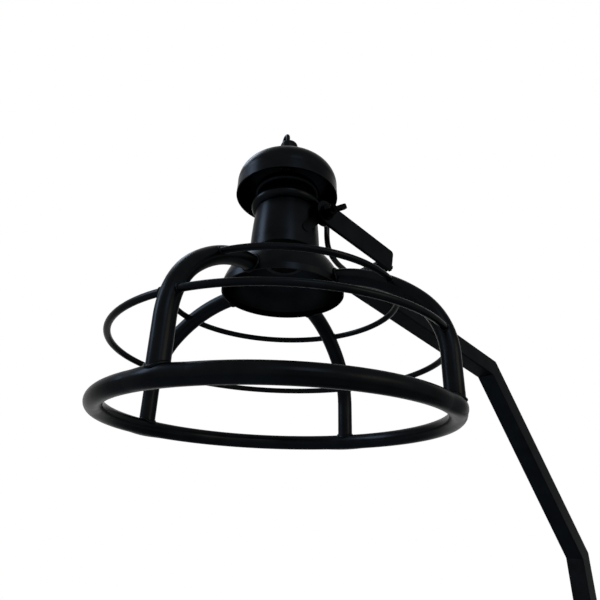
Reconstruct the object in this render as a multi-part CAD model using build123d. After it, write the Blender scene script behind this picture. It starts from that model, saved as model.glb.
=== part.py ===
from build123d import *
import math
import os

# Wire cage floor lamp: a caged lamp head on a mitred square-tube stand.
# Millimetres, +Z up. The origin is the middle of the base's underside, on the floor.
# The arm lies in the plane Y = 0, with the head over -X.
# The head is drawn about its own axis, from the centre of its bottom ring.

# ---- driving dimensions: the cage ----
RING_RADIUS = 160.0          # centreline of the bottom ring
RING_TUBE = 8.0              # outside radius of the bottom ring's tube
RIB_TUBE = 8.3               # outside radius of a rib's tube
TUBE_WALL = 1.5
RIB_COUNT = 4
RIB_TURN = 21.7              # first rib, in degrees from the arm's direction
RIB_RADIUS = 161.3           # where a rib stands on the ring
RIB_FOOT = 1.0               # a rib is cut off just above the ring's middle
RIB_STRAIGHT = 42.0          # height at which a rib starts to bend
RIB_SHOULDER = 74.5          # the two bend radii of a rib
RIB_CROWN = 136.0
RIB_CROWN_DROP = 44.0        # the crown bend's centre below the start of the shoulder bend
ROD_RADIUS = 3.1             # the two thin rings
LOWER_ROD_RING = (160.0, 63.6)    # centreline radius and height
UPPER_ROD_RING = (115.7, 116.3)

# ---- driving dimensions: bell, neck, collar and cap (radius, height) ----
SHEET = 1.5
BELL_RIM = (62.4, 124.7)
BELL_SIDE = (62.4, 131.0)
BELL_DOME = (52.6, 152.8)
NECK_FOOT = (36.9, 170.0)
NECK_WAIST = (35.9, 195.0)
NECK_TOP = (33.4, 222.0)
NECK_BORE = 27.0             # hole in the top of the bell
COLLAR_TOP = 255.0
COLLAR_ROLLS = ((229.5, 7.0), (249.0, 4.5))    # height and radius of its two rolls
COLLAR_ROLL_CENTRE = 31.5
COLLAR_GROOVE = 33.0
COLLAR_BORE = 30.0
CAP_RIM = (56.2, 243.0)
CAP_SIDE = (55.6, 256.0)
CAP_SHOULDER = (51.9, 271.5)
CAP_BROW = (42.4, 280.9)
CAP_CROWN = (28.5, 286.2)
CAP_LAND = (14.0, 288.5)     # edge of the flat land in the middle of the top

# ---- driving dimensions: lampholder and what holds it ----
HOLDER_RADIUS = 20.5
HOLDER_HEIGHTS = (158.0, 212.0)
HOLDER_BORE = 15.5
HOLDER_FLOOR = 198.0
SHELL_RADIUS = 14.2          # outside of the lampholder's screw shell
SHELL_BORE = 13.3
SHELL_HEIGHTS = (164.0, 192.0)
SHELL_LIP = 1.5
CONTACT_RADIUS = 5.0
CONTACT_THICKNESS = 2.0
STUD_RADIUS = 5.0            # threaded tube up the middle of the head
STUD_BORE = 3.4
STUD_HEIGHTS = (202.0, 296.0)
NUT_FLATS = 14.0
NUT_HEIGHT = 5.0
SPACER_RADIUS = 8.0
LEAD_RADIUS = 1.2            # one insulated conductor
LEAD_SPREAD = 1.6            # conductor to the middle of the pair
LEAD_STRAIGHT = 6.0          # conductors' first run, on from the gland's axis
LEAD_ROUTE = ((19.2, 246.7), (16.0, 240.0), (14.0, 226.0), (14.0, 212.0))

# ---- driving dimensions: knob and loop on top ----
FLANGE_RADIUS = 14.0         # foot of the knob, on the cap
FLANGE_HEIGHT = 3.0
KNOB_RADIUS = 10.0
KNOB_TOP = 320.0
KNOB_ROUNDING = 4.0
KNOB_BORE_TOP = 297.0        # end of the hole for the threaded tube
LOOP_RADIUS = 7.0            # centreline of the loop
LOOP_WIRE = 2.3
LOOP_CENTRE = (-3.06, 2.57, 323.0)
LOOP_TURN = -18.0            # the loop's own axis, in degrees from the arm's direction

# ---- driving dimensions: tilt joint (place in the head's frame) ----
PIVOT_X = 22.0
PIVOT_Z = 215.0
LUG_FACES = (-37.0, -33.0)
LUG_END_RADIUS = 13.0
LUG_ROOT = (-1.4, 189.2)     # middle of the foot's round end
LUG_FOOT_WIDTH = 10.0
STRAP_FACES = (-42.0, -38.15)
STRAP_WIDTH = 26.5
STRAP_LENGTH = 108.0         # from the pivot to the square end
STRAP_CORNER = 4.0           # rounding of the square end's upper corner
TAB_LENGTH = 18.5            # from the arm's open end
TAB_THICKNESS = 4.0
BOLT_RADIUS = 3.0
RUNNING_FIT = 0.08           # radial clearance of every plain hole
BOLT_HEAD_RADIUS = 6.0
BOLT_HEAD = 2.2
BOLT_END = -54.5
WASHER_RADIUS = 8.5
END_PLAY = 0.15              # gap between faces that turn on each other
WING_HUB_RADIUS = 6.3
WING_HUB_FACES = (-51.0, -43.65)
WING_REACH = 16.8            # axis to wing tip
WING_TIP = -58.5
WING_THICKNESS = 5.0
WING_TIP_RADIUS = 4.2
WING_ROOT_RADIUS = 3.0
WING_ROOT_REACH = 5.0
WING_TURN = 26.0             # the wings at rest, in degrees above the arm's direction

# ---- driving dimensions: stand ----
RING_HEIGHT = 1350.0         # bottom ring above the floor
ARM_SIZE = 25.0
ARM_WALL = 1.5
ARM_CORNER = 2.0
ARM_START = 112.0            # open end of the arm, from the head's axis
ARM_DROOP = 10.8             # the two slopes of the arm, in degrees
SLANT_DROOP = 51.6
MITRE = (390.5, 125.8)       # first mitre, from the head's axis and bottom ring
SLANT_LENGTH = 320.0
POLE_OFFSET = 95.0           # the pole stands behind the middle of the base
POLE_JOINT = 770.0           # height at which the pole comes apart
SLEEVE_LENGTH = 120.0
SLEEVE_WALL = 2.0
SLEEVE_CORNER = 1.0
SLEEVE_FIT = 0.15
BASE_RADIUS = 175.0
BASE_THICKNESS = 12.0
BASE_EDGE = 2.5
PAD_RADIUS = 168.0
PAD_THICKNESS = 2.0
FOOT_SIZE = 70.0
FOOT_THICKNESS = 5.0
FOOT_CORNER = 6.0
FOOT_SCREW_PITCH = 48.0
FOOT_SCREW_END = 3.0         # screw tips above the pad
SCREW_RADIUS = 2.5
SCREW_HEAD_RADIUS = 4.6
SCREW_HEAD = 2.6
SCREW_DOME = 1.6
SOCKET_FLATS = 3.0           # hexagon socket in a screw's head
SOCKET_DEPTH = 1.4
SCREW_TAIL = 1.5
TAB_SCREW_SPACING = 11.0

# ---- driving dimensions: cable ----
CABLE_RADIUS = 3.2
GLAND_RADIUS = 4.6
GLAND_LENGTH = 9.0
GLAND_RIM_RADIUS = 5.6
GLAND_RIM = 2.0
# Route of the free cable, in the head's frame, from its gland towards the arm's end plug.
# Its last two points lie on the arm's own axis and are worked out.
CABLE_ROUTE = [
    (36.2, -7.7, 241.0),
    (45.9, -9.8, 235.3),
    (51.5, -11.0, 225.3),
    (51.3, -10.8, 211.0),
    (53.8, -10.0, 198.3),
    (62.0, -8.6, 189.0),
    (74.5, -6.4, 184.2),
    (87.0, -3.5, 183.6),
]
CABLE_LAST_RUN = 11.5
PLUG_FLANGE = 2.0
PLUG_DEPTH = 6.0
INNER_BENDS = (40.0, 40.0, 9.0)    # bends of the cable inside the arm and pole
INLET_HEIGHT = 60.0          # cable inlet low on the back of the pole
INLET_SEAT = 5.0
INLET_RIM = 7.0
INLET_DEPTH = 2.5

# ---- worked-out places ----
arm_rise = math.tan(math.radians(ARM_DROOP))
cap_top = CAP_LAND[1]
stud_hole = STUD_RADIUS + RUNNING_FIT
screw_hole = SCREW_RADIUS + RUNNING_FIT
slant_foot = (
    MITRE[0] + SLANT_LENGTH * math.cos(math.radians(SLANT_DROOP)),
    MITRE[1] - SLANT_LENGTH * math.sin(math.radians(SLANT_DROOP)),
)
head_x = POLE_OFFSET - slant_foot[0]
HEAD = Location((head_x, 0, RING_HEIGHT))
arm_end = (ARM_START, MITRE[1] + (MITRE[0] - ARM_START) * arm_rise)
sole = BASE_THICKNESS + PAD_THICKNESS
pole_bottom = sole + FOOT_THICKNESS

UPWARDS = (Align.CENTER, Align.CENTER, Align.MIN)


def arm_direction(droop):
    """Unit vector down the arm, away from the head, at a slope below level."""
    angle = math.radians(droop)
    return Vector(math.cos(angle), 0, -math.sin(angle))


def revolve_outline(*edges):
    """Turn a closed outline in the XZ plane about the head's axis."""
    return revolve(make_face(edges), axis=Axis.Z)


def ring_stack(outer, inner, low, high):
    """Plain turned ring, or a disc where the inner radius is zero."""
    body = Cylinder(outer, high - low, align=UPWARDS)
    if inner > 0:
        body -= Cylinder(inner, high - low, align=UPWARDS)
    return Pos(0, 0, low) * body


def across(radius, face_a, face_b, x, z):
    """Round bar along Y between two faces, in the head's frame."""
    start = Plane(origin=(x, face_a, z), z_dir=(0, 1, 0))
    return extrude(start * Circle(radius), amount=face_b - face_a)


# ---- cage ----
def bent_bar(radius):
    """Round bar along a rib: up from the ring, round the shoulder and over to the bell."""
    shoulder = (RIB_RADIUS - RIB_SHOULDER, RIB_STRAIGHT)
    # The two bends share a tangent where the line through their centres meets them.
    inset = math.sqrt((RIB_CROWN - RIB_SHOULDER) ** 2 - RIB_CROWN_DROP**2)
    crown = (shoulder[0] - inset, RIB_STRAIGHT - RIB_CROWN_DROP)
    joint_angle = math.atan2(RIB_CROWN_DROP, inset)
    end_angle = math.acos((BELL_SIDE[0] - RIB_TUBE - crown[0]) / RIB_CROWN)
    joint = Vector(
        crown[0] + RIB_CROWN * math.cos(joint_angle),
        0,
        crown[1] + RIB_CROWN * math.sin(joint_angle),
    )
    foot = Plane(origin=(RIB_RADIUS, 0, RIB_STRAIGHT), z_dir=(0, 0, 1)) * Circle(radius)
    middle = Plane(
        origin=joint, z_dir=(-math.sin(joint_angle), 0, math.cos(joint_angle))
    ) * Circle(radius)
    bar = Pos(RIB_RADIUS, 0, RIB_FOOT) * Cylinder(radius, RIB_STRAIGHT - RIB_FOOT, align=UPWARDS)
    bar += revolve(foot, Axis((shoulder[0], 0, shoulder[1]), (0, -1, 0)), math.degrees(joint_angle))
    bar += revolve(
        middle, Axis((crown[0], 0, crown[1]), (0, -1, 0)), math.degrees(end_angle - joint_angle)
    )
    return bar


def swept_bar(path, radius):
    """Round bar swept along a path of runs and tangent arcs."""
    section = Plane(origin=path @ 0, z_dir=path % 0)
    return sweep(section * Circle(radius), path=path)


def make_cage():
    """Bottom ring, ribs and thin rings, each butted against what it is welded to."""
    parts = {}
    solid_ring = Torus(RING_RADIUS, RING_TUBE)
    parts["cage_bottom_ring"] = solid_ring - Torus(RING_RADIUS, RING_TUBE - TUBE_WALL)
    solid_rib = bent_bar(RIB_TUBE)
    rib = solid_rib - bent_bar(RIB_TUBE - TUBE_WALL) - solid_ring - bell_outline_solid()
    solid_ribs = []
    for index in range(RIB_COUNT):
        turn = Rot(0, 0, RIB_TURN + index * 360 / RIB_COUNT)
        parts[f"cage_rib_{index + 1}"] = turn * rib
        solid_ribs.append(turn * solid_rib)
    for name, (radius, height) in (
        ("thin_ring_lower", LOWER_ROD_RING),
        ("thin_ring_upper", UPPER_ROD_RING),
    ):
        rods = Pos(0, 0, height) * Torus(radius, ROD_RADIUS)
        for turned_rib in solid_ribs:
            rods -= turned_rib
        parts[name] = rods
    return parts


# ---- bell, neck, collar, cap ----
def bell_outline_solid():
    """The bell's outside as a filled solid, for trimming the ribs."""
    return revolve_outline(
        Line((0, 0, BELL_RIM[1]), (BELL_RIM[0], 0, BELL_RIM[1])),
        Line((BELL_RIM[0], 0, BELL_RIM[1]), (BELL_SIDE[0], 0, BELL_SIDE[1])),
        ThreePointArc(xz(BELL_SIDE), xz(BELL_DOME), xz(NECK_FOOT)),
        Line(xz(NECK_FOOT), (0, 0, NECK_FOOT[1])),
        Line((0, 0, NECK_FOOT[1]), (0, 0, BELL_RIM[1])),
    )


def xz(point):
    """A (radius, height) pair as a point in the XZ plane."""
    return (point[0], 0, point[1])


def inward(point, across_by, down_by):
    """The matching point on the inside of a sheet."""
    return (point[0] - across_by, 0, point[1] - down_by)


def make_bell():
    """Spun bell: short straight rim, domed shoulder and a flat seat for the neck."""
    diagonal = SHEET * math.sqrt(0.5)
    return revolve_outline(
        Line(xz(BELL_RIM), xz(BELL_SIDE)),
        ThreePointArc(xz(BELL_SIDE), xz(BELL_DOME), xz(NECK_FOOT)),
        Line(xz(NECK_FOOT), (NECK_BORE, 0, NECK_FOOT[1])),
        Line((NECK_BORE, 0, NECK_FOOT[1]), (NECK_BORE, 0, NECK_FOOT[1] - SHEET)),
        Line((NECK_BORE, 0, NECK_FOOT[1] - SHEET), inward(NECK_FOOT, SHEET, SHEET)),
        ThreePointArc(
            inward(NECK_FOOT, SHEET, SHEET),
            inward(BELL_DOME, diagonal, diagonal),
            inward(BELL_SIDE, SHEET, 0),
        ),
        Line(inward(BELL_SIDE, SHEET, 0), inward(BELL_RIM, SHEET, 0)),
        Line(inward(BELL_RIM, SHEET, 0), xz(BELL_RIM)),
    )


def make_neck():
    """Slightly barrelled neck tube that stands on the bell."""
    return revolve_outline(
        ThreePointArc(xz(NECK_FOOT), xz(NECK_WAIST), xz(NECK_TOP)),
        Line(xz(NECK_TOP), inward(NECK_TOP, SHEET, 0)),
        ThreePointArc(inward(NECK_TOP, SHEET, 0), inward(NECK_WAIST, SHEET, 0), inward(NECK_FOOT, SHEET, 0)),
        Line(inward(NECK_FOOT, SHEET, 0), xz(NECK_FOOT)),
    )


def make_collar():
    """Turned collar that closes the neck: two rolls, a groove and a flat top."""
    collar = ring_stack(COLLAR_GROOVE, 0, NECK_TOP[1], COLLAR_TOP)
    for height, radius in COLLAR_ROLLS:
        collar += Pos(0, 0, height) * Torus(COLLAR_ROLL_CENTRE, radius)
    collar &= ring_stack(RING_RADIUS, 0, NECK_TOP[1], COLLAR_TOP)
    collar -= ring_stack(COLLAR_BORE, 0, NECK_TOP[1], COLLAR_TOP - SHEET)
    collar -= ring_stack(stud_hole, 0, NECK_TOP[1], COLLAR_TOP)
    collar -= gland_bar(GLAND_RADIUS, -GLAND_LENGTH, 0)
    return collar - gland_bar(GLAND_RIM_RADIUS, -GLAND_RIM, GLAND_LENGTH)


def make_cap():
    """Spun cap: an upturned cup, open below, clamped at the middle of its top."""
    diagonal = SHEET * math.sqrt(0.5)
    return revolve_outline(
        Line(xz(CAP_RIM), xz(CAP_SIDE)),
        ThreePointArc(xz(CAP_SIDE), xz(CAP_SHOULDER), xz(CAP_BROW)),
        ThreePointArc(xz(CAP_BROW), xz(CAP_CROWN), xz(CAP_LAND)),
        Line(xz(CAP_LAND), (stud_hole, 0, cap_top)),
        Line((stud_hole, 0, cap_top), (stud_hole, 0, cap_top - SHEET)),
        Line((stud_hole, 0, cap_top - SHEET), inward(CAP_LAND, 0, SHEET)),
        ThreePointArc(
            inward(CAP_LAND, 0, SHEET),
            inward(CAP_CROWN, SHEET / 2, SHEET),
            inward(CAP_BROW, SHEET / 2, SHEET),
        ),
        ThreePointArc(
            inward(CAP_BROW, SHEET / 2, SHEET),
            inward(CAP_SHOULDER, diagonal, diagonal),
            inward(CAP_SIDE, SHEET, 0),
        ),
        Line(inward(CAP_SIDE, SHEET, 0), inward(CAP_RIM, SHEET, 0)),
        Line(inward(CAP_RIM, SHEET, 0), xz(CAP_RIM)),
    )


def hex_nut(low):
    """Hexagon nut on the threaded tube, with its underside at a height."""
    nut = extrude(RegularPolygon(NUT_FLATS / math.sqrt(3), 6), NUT_HEIGHT)
    return Pos(0, 0, low) * (nut - Cylinder(stud_hole, NUT_HEIGHT, align=UPWARDS))


def make_holder():
    """Lampholder, the threaded tube that carries it, and the nuts that clamp it."""
    low, high = HOLDER_HEIGHTS
    parts = {}
    body = ring_stack(HOLDER_RADIUS, 0, low, high)
    body = fillet(body.edges().group_by(Axis.Z)[-1], 4)
    body -= ring_stack(HOLDER_BORE, 0, low, HOLDER_FLOOR)
    parts["lampholder_body"] = body - ring_stack(stud_hole, 0, STUD_HEIGHTS[0], high)
    shell = ring_stack(HOLDER_BORE, SHELL_BORE, SHELL_HEIGHTS[1], SHELL_HEIGHTS[1] + SHELL_LIP)
    parts["lampholder_screw_shell"] = shell + ring_stack(SHELL_RADIUS, SHELL_BORE, *SHELL_HEIGHTS)
    parts["lampholder_contact"] = ring_stack(
        CONTACT_RADIUS, 0, HOLDER_FLOOR - CONTACT_THICKNESS, HOLDER_FLOOR
    )
    parts["threaded_tube"] = ring_stack(STUD_RADIUS, STUD_BORE, *STUD_HEIGHTS)
    nut_heights = (high, COLLAR_TOP - SHEET - NUT_HEIGHT, COLLAR_TOP)
    parts["threaded_tube_nuts"] = Compound([hex_nut(height) for height in nut_heights])
    parts["cap_spacer"] = ring_stack(
        SPACER_RADIUS, stud_hole, COLLAR_TOP + NUT_HEIGHT, cap_top - SHEET
    )
    return parts


def make_top_knob():
    """Knob screwed onto the threaded tube, and the loop held in its top."""
    flange_top = cap_top + FLANGE_HEIGHT
    knob = ring_stack(KNOB_RADIUS, 0, flange_top, KNOB_TOP)
    knob = fillet(knob.edges().group_by(Axis.Z)[-1], KNOB_ROUNDING)
    knob += ring_stack(FLANGE_RADIUS, 0, cap_top, flange_top)
    knob -= ring_stack(stud_hole, 0, cap_top, KNOB_BORE_TOP)
    loop = Pos(*LOOP_CENTRE) * Rot(0, 0, LOOP_TURN) * Rot(0, 90, 0) * Torus(LOOP_RADIUS, LOOP_WIRE)
    return {"finial_nut": knob - loop, "top_loop": loop}


# ---- tilt joint ----
def make_lug():
    """Plate welded flat to the side of the neck: a round eye for the bolt on a narrow foot."""
    thickness = LUG_FACES[1] - LUG_FACES[0]
    side = Plane(origin=(0, LUG_FACES[1], 0), x_dir=(1, 0, 0), z_dir=(0, -1, 0))
    eye = Pos(PIVOT_X, PIVOT_Z)
    foot_end = Circle(LUG_FOOT_WIDTH / 2)
    outline = make_hull([*(eye * foot_end).edges(), *(Pos(*LUG_ROOT) * foot_end).edges()])
    outline += eye * Circle(LUG_END_RADIUS)
    plate = extrude(side * outline, thickness)
    plate -= across(BOLT_RADIUS, LUG_FACES[0], LUG_FACES[1], PIVOT_X, PIVOT_Z)
    filled_neck = revolve_outline(
        ThreePointArc(xz(NECK_FOOT), xz(NECK_WAIST), xz(NECK_TOP)),
        Line(xz(NECK_TOP), (0, 0, NECK_TOP[1])),
        Line((0, 0, NECK_TOP[1]), (0, 0, NECK_FOOT[1])),
        Line((0, 0, NECK_FOOT[1]), xz(NECK_FOOT)),
    )
    collar_room = COLLAR_ROLL_CENTRE + COLLAR_ROLLS[0][1] + END_PLAY
    return plate - filled_neck - ring_stack(collar_room, 0, NECK_TOP[1], COLLAR_TOP)


def make_pivot():
    """Pivot bolt with its washers and wing nut, on the level axis of the tilt."""
    parts = {}
    head_face = LUG_FACES[1] + BOLT_HEAD
    bolt = across(BOLT_RADIUS, BOLT_END, LUG_FACES[1], PIVOT_X, PIVOT_Z)
    bolt += across(BOLT_HEAD_RADIUS, LUG_FACES[1], head_face, PIVOT_X, PIVOT_Z)
    parts["pivot_bolt"] = bolt
    washer_faces = {
        "friction_washer": (STRAP_FACES[1], LUG_FACES[0] - END_PLAY),
        "plain_washer": (WING_HUB_FACES[1] + END_PLAY, STRAP_FACES[0] - END_PLAY),
    }
    for name, (low, high) in washer_faces.items():
        disc = across(WASHER_RADIUS, low, high, PIVOT_X, PIVOT_Z)
        parts[name] = disc - across(BOLT_RADIUS + RUNNING_FIT, low, high, PIVOT_X, PIVOT_Z)
    parts["wing_nut"] = make_wing_nut()
    return parts


def make_wing_nut():
    """Wing nut: a tapered hub with two rounded wings that lean outwards."""
    low, high = WING_HUB_FACES
    hub = across(WING_HUB_RADIUS, low, high, PIVOT_X, PIVOT_Z)
    wing_plane = Plane(
        origin=(PIVOT_X, 0, PIVOT_Z),
        x_dir=(math.cos(math.radians(WING_TURN)), 0, math.sin(math.radians(WING_TURN))),
        z_dir=(-math.sin(math.radians(WING_TURN)), 0, math.cos(math.radians(WING_TURN))),
    )
    wings = []
    for side in (-1, 1):
        tip = (side * (WING_REACH - WING_TIP_RADIUS), WING_TIP + WING_TIP_RADIUS)
        root = (side * WING_ROOT_REACH, (low + high) / 2)
        blade = make_hull(
            [
                *(Pos(*tip) * Circle(WING_TIP_RADIUS)).edges(),
                *(Pos(*root) * Circle(WING_ROOT_RADIUS)).edges(),
            ]
        )
        wings.append(extrude(wing_plane * blade, WING_THICKNESS / 2, both=True))
    nut = hub + wings[0] + wings[1]
    return nut - across(BOLT_RADIUS + RUNNING_FIT, WING_TIP, high, PIVOT_X, PIVOT_Z)


def make_strap():
    """Flat strap beside the neck, and the tab welded to it that lies on the arm's end."""
    axis_plane = Plane(
        origin=(PIVOT_X, STRAP_FACES[1], PIVOT_Z),
        x_dir=arm_direction(ARM_DROOP),
        z_dir=(0, -1, 0),
    )
    outline = Circle(STRAP_WIDTH / 2)
    outline += Pos(STRAP_LENGTH / 2, 0) * Rectangle(STRAP_LENGTH, STRAP_WIDTH)
    upper_corner = outline.vertices().sort_by(Axis.X)[-2:].sort_by(Axis.Y)[-1:]
    outline = fillet(upper_corner, STRAP_CORNER)
    strap = extrude(axis_plane * outline, STRAP_FACES[1] - STRAP_FACES[0])
    strap -= across(BOLT_RADIUS + RUNNING_FIT, *STRAP_FACES, PIVOT_X, PIVOT_Z)
    tab_width = ARM_SIZE / 2 - STRAP_FACES[1]
    tab = Box(TAB_LENGTH, tab_width, TAB_THICKNESS, align=(Align.MIN, Align.MIN, Align.MIN))
    tab = on_arm(tab, 0, STRAP_FACES[1], ARM_SIZE / 2)
    for hole in tab_screw_bars(screw_hole):
        tab -= hole
    return {"arm_strap": strap, "strap_tab": tab}


def on_arm(shape, along, sideways, above):
    """Place a shape on the upper arm: distance from its open end, across, and off its axis."""
    axis = Plane(
        origin=(arm_end[0], 0, arm_end[1]),
        x_dir=arm_direction(ARM_DROOP),
        z_dir=(math.sin(math.radians(ARM_DROOP)), 0, math.cos(math.radians(ARM_DROOP))),
    )
    return axis.location * Pos(along, sideways, above) * shape


def tab_screw_bars(radius):
    """Two bars on the screws' axes, through the tab and the arm's top wall."""
    length = TAB_THICKNESS + ARM_WALL + SCREW_TAIL
    low = ARM_SIZE / 2 - ARM_WALL - SCREW_TAIL
    bar = Cylinder(radius, length, align=UPWARDS)
    return [
        on_arm(bar, TAB_LENGTH / 2, side * TAB_SCREW_SPACING / 2, low) for side in (-1, 1)
    ]


def screw_head():
    """Domed button head with a hexagon socket, standing on the XY plane."""
    head = Cylinder(SCREW_HEAD_RADIUS, SCREW_HEAD, align=UPWARDS)
    head = fillet(head.edges().group_by(Axis.Z)[-1], SCREW_DOME)
    socket = extrude(RegularPolygon(SOCKET_FLATS / math.sqrt(3), 6), SOCKET_DEPTH)
    return head - Pos(0, 0, SCREW_HEAD - SOCKET_DEPTH) * socket


def make_tab_screws():
    """Two button-head screws that hold the strap's tab to the arm."""
    screws = []
    for side, shank in zip((-1, 1), tab_screw_bars(SCREW_RADIUS)):
        across_arm = side * TAB_SCREW_SPACING / 2
        head_face = ARM_SIZE / 2 + TAB_THICKNESS
        screws.append(shank + on_arm(screw_head(), TAB_LENGTH / 2, across_arm, head_face))
    return Compound(screws)


# ---- stand ----
def square_tube(start, direction, length, size, wall, corner):
    """Square tube from a point along a direction in the XZ plane."""
    section = Plane(origin=start, x_dir=(0, 1, 0), z_dir=direction)
    inner = size - 2 * wall
    profile = RectangleRounded(size, size, corner)
    profile -= RectangleRounded(inner, inner, max(corner - wall, 0.3))
    return extrude(section * profile, length)


def mitre_plane(point, incoming, outgoing):
    """Plane that halves the corner between two tubes, facing along the second."""
    return Plane(origin=point, z_dir=(incoming + outgoing).normalized())


def make_stand():
    """Arm, slant and pole, mitred at both corners, and the pole's joint."""
    down_arm = arm_direction(ARM_DROOP)
    down_slant = arm_direction(SLANT_DROOP)
    down_pole = Vector(0, 0, -1)
    open_end = Vector(head_x + arm_end[0], 0, RING_HEIGHT + arm_end[1])
    first = Vector(head_x + MITRE[0], 0, RING_HEIGHT + MITRE[1])
    second = Vector(POLE_OFFSET, 0, RING_HEIGHT + slant_foot[1])
    first_cut = mitre_plane(first, down_arm, down_slant)
    second_cut = mitre_plane(second, down_slant, down_pole)
    spare = ARM_SIZE
    shape = (ARM_SIZE, ARM_WALL, ARM_CORNER)

    parts = {}
    arm = square_tube(open_end, down_arm, (first - open_end).length + spare, *shape)
    arm = split(arm, bisect_by=first_cut, keep=Keep.BOTTOM)
    for hole in tab_screw_bars(screw_hole):
        arm -= HEAD * hole
    parts["arm_upper_tube"] = arm
    slant = square_tube(first - down_slant * spare, down_slant, SLANT_LENGTH + 2 * spare, *shape)
    slant = split(slant, bisect_by=first_cut, keep=Keep.TOP)
    parts["arm_slant_tube"] = split(slant, bisect_by=second_cut, keep=Keep.BOTTOM)
    upper = square_tube(second - down_pole * spare, down_pole, second.Z + spare - POLE_JOINT, *shape)
    parts["pole_upper"] = split(upper, bisect_by=second_cut, keep=Keep.TOP)
    lower = square_tube(
        Vector(POLE_OFFSET, 0, POLE_JOINT), down_pole, POLE_JOINT - pole_bottom, *shape
    )
    inlet = Plane(origin=(POLE_OFFSET, 0, sole + INLET_HEIGHT), z_dir=(1, 0, 0))
    lower -= extrude(inlet * Circle(INLET_SEAT), ARM_SIZE)
    parts["pole_lower"] = lower
    parts.update(make_pole_joint(parts))
    return parts


def make_pole_joint(tubes):
    """Sleeve inside the pole's joint, with one screw into it from each half."""
    size = ARM_SIZE - 2 * ARM_WALL - 2 * SLEEVE_FIT
    sleeve_top = Vector(POLE_OFFSET, 0, POLE_JOINT + SLEEVE_LENGTH / 2)
    sleeve = square_tube(sleeve_top, Vector(0, 0, -1), SLEEVE_LENGTH, size, SLEEVE_WALL, SLEEVE_CORNER)
    parts = {}
    screws = []
    inner_face = POLE_OFFSET + size / 2 - SLEEVE_WALL
    grip = SLEEVE_WALL + SLEEVE_FIT + ARM_WALL
    for name, offset in (("pole_lower", -SLEEVE_LENGTH / 4), ("pole_upper", SLEEVE_LENGTH / 4)):
        seat = Plane(origin=(inner_face, 0, POLE_JOINT + offset), z_dir=(1, 0, 0))
        hole = extrude(seat * Circle(screw_hole), grip)
        sleeve -= hole
        parts[name] = tubes[name] - hole
        screws.append(extrude(seat * Circle(SCREW_RADIUS), grip) + seat.offset(grip).location * screw_head())
    parts["pole_joint_sleeve"] = sleeve
    parts["pole_joint_screws"] = Compound(screws)
    return parts


def make_base():
    """Heavy round plate with its pad, and the pole's foot screwed down onto it."""
    parts = {}
    plate = ring_stack(BASE_RADIUS, 0, PAD_THICKNESS, sole)
    plate = fillet(plate.edges().group_by(Axis.Z)[-1], BASE_EDGE)
    foot = Pos(POLE_OFFSET, 0, sole) * Box(FOOT_SIZE, FOOT_SIZE, FOOT_THICKNESS, align=UPWARDS)
    foot = fillet(foot.edges().filter_by(Axis.Z), FOOT_CORNER)
    screws = []
    for location in GridLocations(FOOT_SCREW_PITCH, FOOT_SCREW_PITCH, 2, 2):
        place = Pos(POLE_OFFSET, 0, 0) * location
        clearance = ring_stack(screw_hole, 0, PAD_THICKNESS, pole_bottom)
        plate -= place * clearance
        foot -= place * clearance
        shank = ring_stack(SCREW_RADIUS, 0, PAD_THICKNESS + FOOT_SCREW_END, pole_bottom)
        screws.append(place * (shank + Pos(0, 0, pole_bottom) * screw_head()))
    parts["base_plate"] = plate
    parts["base_pad"] = ring_stack(PAD_RADIUS, 0, 0, PAD_THICKNESS)
    parts["pole_foot"] = foot
    parts["pole_foot_screws"] = Compound(screws)
    return parts


# ---- cable ----
def gland_plane():
    """Where the cable leaves its gland: origin on the outer face, facing along the cable."""
    start, following = (Vector(*point) for point in CABLE_ROUTE[:2])
    return Plane(origin=start, z_dir=(following - start).normalized())


def gland_bar(radius, low, high):
    """Round bar on the gland's axis, between two distances from its outer face."""
    return extrude(gland_plane().offset(low) * Circle(radius), high - low)


def make_cable():
    """Moulded cable gland, free cable, lampholder leads and the arm's end plug."""
    parts = {}
    gland = gland_bar(GLAND_RADIUS - RUNNING_FIT, -GLAND_LENGTH, 0)
    parts["cable_gland"] = gland + gland_bar(GLAND_RIM_RADIUS - RUNNING_FIT, -GLAND_RIM, 0)
    parts["lampholder_leads"] = make_leads()

    last_run = arm_direction(ARM_DROOP) * CABLE_LAST_RUN
    route = [Vector(*point) for point in CABLE_ROUTE]
    route += [plug_face() - last_run, plug_face()]
    parts["head_cable"] = cable_tube(route, "head_cable")

    inner = ARM_SIZE - 2 * ARM_WALL - 2 * SLEEVE_FIT
    flange = Box(PLUG_FLANGE, ARM_SIZE, ARM_SIZE, align=(Align.MAX, Align.CENTER, Align.CENTER))
    flange = fillet(flange.edges().filter_by(Axis.X), ARM_CORNER)
    shank = Box(PLUG_DEPTH, inner, inner, align=(Align.MIN, Align.CENTER, Align.CENTER))
    bore = Rot(0, 90, 0) * Cylinder(CABLE_RADIUS + RUNNING_FIT, 3 * PLUG_DEPTH)
    parts["arm_end_plug"] = on_arm(flange + shank - bore, 0, 0, 0)
    return parts


def make_leads():
    """The two conductors from the gland's inner end down to the lampholder."""
    plane = gland_plane().offset(-GLAND_LENGTH)
    outward = Vector(plane.origin.X, plane.origin.Y, 0).normalized()
    sideways = outward.cross(Vector(0, 0, 1))
    route = [plane.origin, plane.offset(-LEAD_STRAIGHT).origin]
    route += [outward * radius + Vector(0, 0, height) for radius, height in LEAD_ROUTE]
    leads = []
    for side in (-LEAD_SPREAD, LEAD_SPREAD):
        shifted = [point + sideways * side for point in route]
        leads.append(swept_bar(FilletPolyline(*shifted, radius=bend_radii(shifted)), LEAD_RADIUS))
    return Compound(leads)


def plug_face():
    """Middle of the arm plug's outer face, in the head's frame."""
    back = arm_direction(ARM_DROOP) * PLUG_FLANGE
    return Vector(arm_end[0], 0, arm_end[1]) - back


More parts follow.
